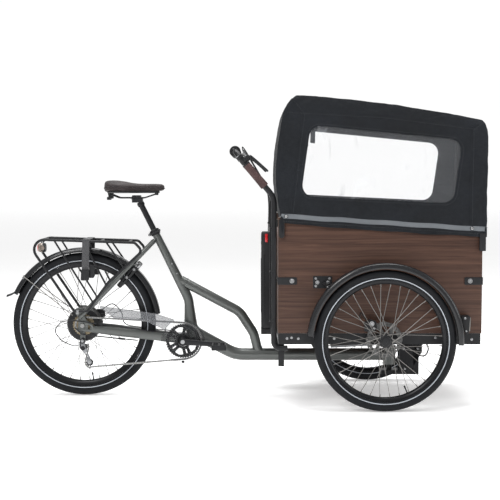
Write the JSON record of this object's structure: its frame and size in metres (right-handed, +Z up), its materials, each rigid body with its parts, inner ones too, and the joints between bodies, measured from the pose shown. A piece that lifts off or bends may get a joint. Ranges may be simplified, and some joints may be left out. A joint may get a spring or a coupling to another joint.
{
  "type": "cargo tricycle",
  "caption": "Electric cargo tricycle: a canopied wooden box steers between two front wheels, with a driven rear wheel and a luggage rack.",
  "frame": {"origin": "on the ground, in the middle of the length and the width", "axes": "+X forward, +Y to the rider's left, +Z up"},
  "size_m": [2.176, 0.877, 1.3854],
  "materials": {
    "frame_paint": "satin metallic grey-green paint",
    "black_steel": "satin black powder coat",
    "bright_steel": "bare brushed steel",
    "rim_alloy": "black anodised",
    "tyre_rubber": "black rubber with a reflective line",
    "black_plastic": "black moulded plastic",
    "box_wood": "dark film-faced plywood with a streaked grain",
    "grip_cover": "brown stitched cover",
    "saddle_cover": "dark brown grained cover",
    "canopy_fabric": "coated navy-black woven fabric",
    "clear_sheet": "clear flexible sheet",
    "lamp_lens": "red lens in a clear case"
  },
  "bodies": {
    "rear_frame": {"frame": "frame_paint", "seat_collar": "black_steel", "rear_axle": "bright_steel", "rear_mudguard": "black_plastic", "rear_rack": "black_steel", "tail_lamp": "lamp_lens", "ring_lock": "black_plastic", "chain_guard": "clear_sheet", "chain": "bright_steel", "derailleur_body": "bright_steel", "gear_cable": "black_plastic", "motor_cable": "black_plastic", "rear_brake_caliper": "black_steel", "kingpin": "bright_steel"},
    "rear_wheel": {"rear_tyre": "tyre_rubber", "rear_rim": "rim_alloy", "rear_hub_motor": "black_steel"},
    "cassette": {"cassette": "bright_steel"},
    "crankset": {"right_crank": "black_steel", "left_crank": "black_steel", "chainring": "bright_steel"},
    "right_pedal": {"right_pedal": "black_plastic"},
    "left_pedal": {"left_pedal": "black_plastic"},
    "derailleur_cage": {"derailleur_cage": "bright_steel"},
    "guide_pulley": {"guide_pulley": "black_plastic"},
    "tension_pulley": {"tension_pulley": "black_plastic"},
    "seatpost": {"seatpost": "black_steel", "saddle_rails": "black_steel", "saddle": "saddle_cover"},
    "seat_clamp_lever": {"seat_clamp_lever": "black_steel"},
    "steered_box": {"box_rail_frame": "black_steel", "box_floor": "box_wood", "box_left_panel": "box_wood", "box_right_panel": "box_wood", "box_rear_panel": "box_wood", "box_front_panel": "box_wood", "canopy_cover": "canopy_fabric", "canopy_poles": "black_steel", "canopy_left_window": "clear_sheet", "canopy_right_window": "clear_sheet", "canopy_front_window": "clear_sheet", "handlebar": "black_steel", "right_grip": "grip_cover", "left_grip": "grip_cover", "front_right_mudguard": "black_plastic", "front_left_mudguard": "black_plastic", "front_right_caliper": "black_steel", "front_left_caliper": "black_steel", "front_right_lamp": "black_plastic", "front_left_lamp": "black_plastic", "battery_dock": "black_plastic"},
    "battery": {"battery": "black_plastic"},
    "right_brake_lever": {"right_brake_lever": "bright_steel"},
    "left_brake_lever": {"left_brake_lever": "bright_steel"},
    "front_right_wheel": {"front_right_tyre": "tyre_rubber", "front_right_rim": "rim_alloy", "front_right_hub": "black_steel"},
    "front_left_wheel": {"front_left_tyre": "tyre_rubber", "front_left_rim": "rim_alloy", "front_left_hub": "black_steel"}
  },
  "joints": [
    {"name": "steering", "type": "hinge", "parent": "rear_frame", "child": "steered_box", "pos_m": [0.7, 0, 0.19], "axis": [0, 0, 1], "range_deg": [-22, 22]},
    {"name": "rear_wheel_spin", "type": "hinge", "parent": "rear_frame", "child": "rear_wheel", "pos_m": [-0.7245, 0, 0.3335], "axis": [0, 1, 0], "continuous": true},
    {"name": "front_right_wheel_spin", "type": "hinge", "parent": "steered_box", "child": "front_right_wheel", "pos_m": [0.636, -0.4, 0.309], "axis": [0, 1, 0], "continuous": true},
    {"name": "front_left_wheel_spin", "type": "hinge", "parent": "steered_box", "child": "front_left_wheel", "pos_m": [0.636, 0.4, 0.309], "axis": [0, 1, 0], "continuous": true},
    {"name": "crank_spin", "type": "hinge", "parent": "rear_frame", "child": "crankset", "pos_m": [-0.262, 0, 0.259], "axis": [0, 1, 0], "continuous": true},
    {"name": "right_pedal_spin", "type": "hinge", "parent": "crankset", "child": "right_pedal", "pos_m": [-0.093, -0.14, 0.246], "axis": [0, 1, 0], "continuous": true},
    {"name": "left_pedal_spin", "type": "hinge", "parent": "crankset", "child": "left_pedal", "pos_m": [-0.431, 0.14, 0.272], "axis": [0, 1, 0], "continuous": true},
    {"name": "cassette_spin", "type": "hinge", "parent": "rear_frame", "child": "cassette", "pos_m": [-0.7245, 0, 0.3335], "axis": [0, 1, 0], "continuous": true},
    {"name": "derailleur_cage_swing", "type": "hinge", "parent": "rear_frame", "child": "derailleur_cage", "pos_m": [-0.722, -0.048, 0.231], "axis": [0, 1, 0], "range_deg": [-20, 35], "stiffness_Nm_per_rad": 0.8, "deforming": ["chain"]},
    {"name": "guide_pulley_spin", "type": "hinge", "parent": "derailleur_cage", "child": "guide_pulley", "pos_m": [-0.722, -0.048, 0.231], "axis": [0, 1, 0], "continuous": true},
    {"name": "tension_pulley_spin", "type": "hinge", "parent": "derailleur_cage", "child": "tension_pulley", "pos_m": [-0.696, -0.048, 0.159], "axis": [0, 1, 0], "continuous": true},
    {"name": "seatpost_slide", "type": "slide", "parent": "rear_frame", "child": "seatpost", "axis": [-0.4462, 0, 0.8949], "range_m": [-0.06, 0.08]},
    {"name": "seat_clamp_lever_swing", "type": "hinge", "parent": "rear_frame", "child": "seat_clamp_lever", "pos_m": [-0.4168, -0.0292, 0.75042], "axis": [-0.4462, 0, 0.8949], "range_deg": [-150, 0]},
    {"name": "battery_slide", "type": "slide", "parent": "steered_box", "child": "battery", "axis": [0, 0, 1], "range_m": [0, 0.12]},
    {"name": "right_brake_lever_squeeze", "type": "hinge", "parent": "steered_box", "child": "right_brake_lever", "pos_m": [0.04752, -0.3, 1.11251], "axis": [0, 1, 0], "range_deg": [0, 14], "stiffness_Nm_per_rad": 3, "springref_deg": -11.46},
    {"name": "left_brake_lever_squeeze", "type": "hinge", "parent": "steered_box", "child": "left_brake_lever", "pos_m": [0.04752, 0.3, 1.11251], "axis": [0, 1, 0], "range_deg": [0, 14], "stiffness_Nm_per_rad": 3, "springref_deg": -11.46}
  ],
  "couplings": [
    {"joint": "cassette_spin", "follows": "crank_spin", "ratio": 2.3333},
    {"joint": "guide_pulley_spin", "follows": "crank_spin", "ratio": -3.8182},
    {"joint": "tension_pulley_spin", "follows": "crank_spin", "ratio": 3.8182}
  ]
}
